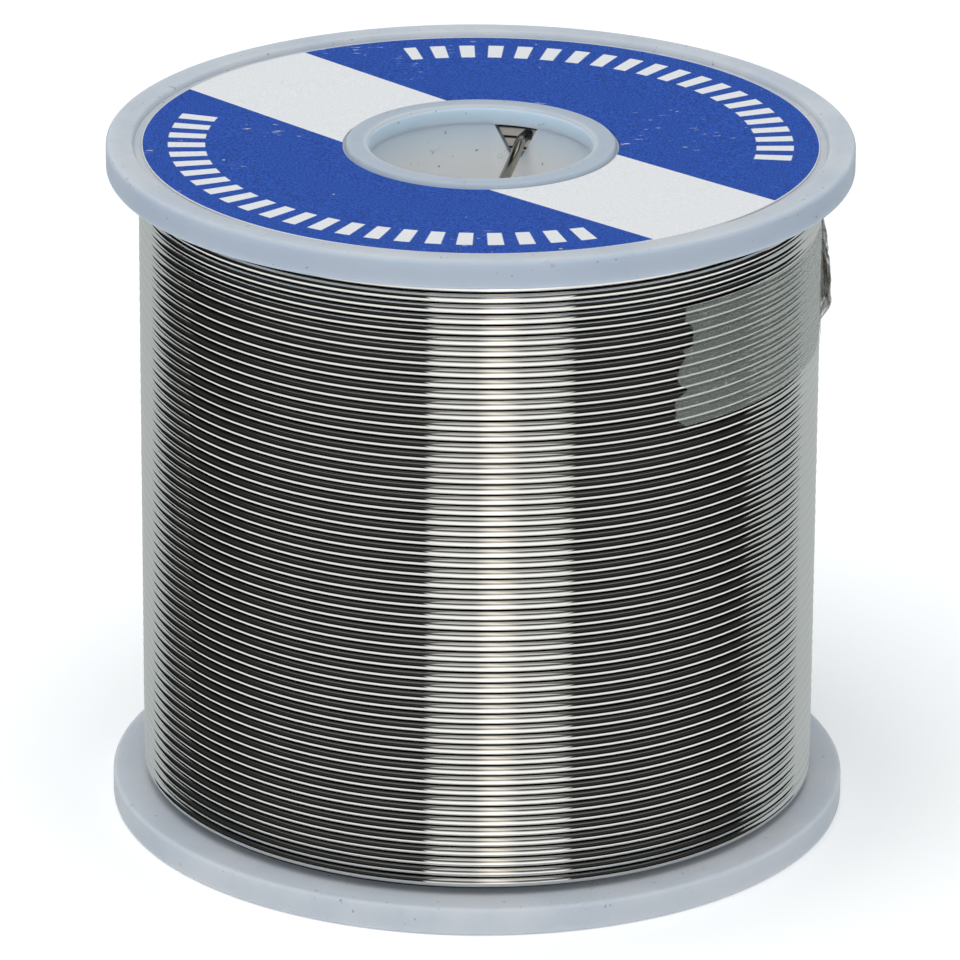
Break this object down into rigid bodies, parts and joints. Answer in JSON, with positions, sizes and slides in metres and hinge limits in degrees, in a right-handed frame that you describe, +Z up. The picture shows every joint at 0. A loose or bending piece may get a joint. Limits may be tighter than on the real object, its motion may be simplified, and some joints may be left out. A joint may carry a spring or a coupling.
{
  "type": "solder wire spool",
  "caption": "Plastic spool of flux-cored solder wire with a round paper label on the upper flange and clear tape over the wire's outer end.",
  "frame": {"origin": "centre of the lower flange's outer face, on the spool's axis", "axes": "+Z up along the spool's axis towards the labelled flange; the front is -Y and +X is to the right; the wire's start notch is at the back"},
  "size_m": [0.0544, 0.0544, 0.0512],
  "materials": {
    "spool_plastic": "translucent natural polypropylene, satin",
    "label_paper": "printed paper label, blue with a white band, slightly glossy",
    "solder_wire": "bright drawn tin-lead solder with fine draw lines",
    "flux": "amber rosin",
    "clear_tape": "matt translucent adhesive tape"
  },
  "bodies": {
    "root": {"lower_flange": "spool_plastic", "barrel": "spool_plastic", "upper_flange": "spool_plastic", "top_label": "label_paper", "inner_wire_layers": "solder_wire", "outer_wire_layer": "solder_wire", "wire_start_tail": "solder_wire", "start_tail_flux_core": "flux", "wire_outer_end": "solder_wire", "tape_strip": "clear_tape"}
  },
  "joints": []
}
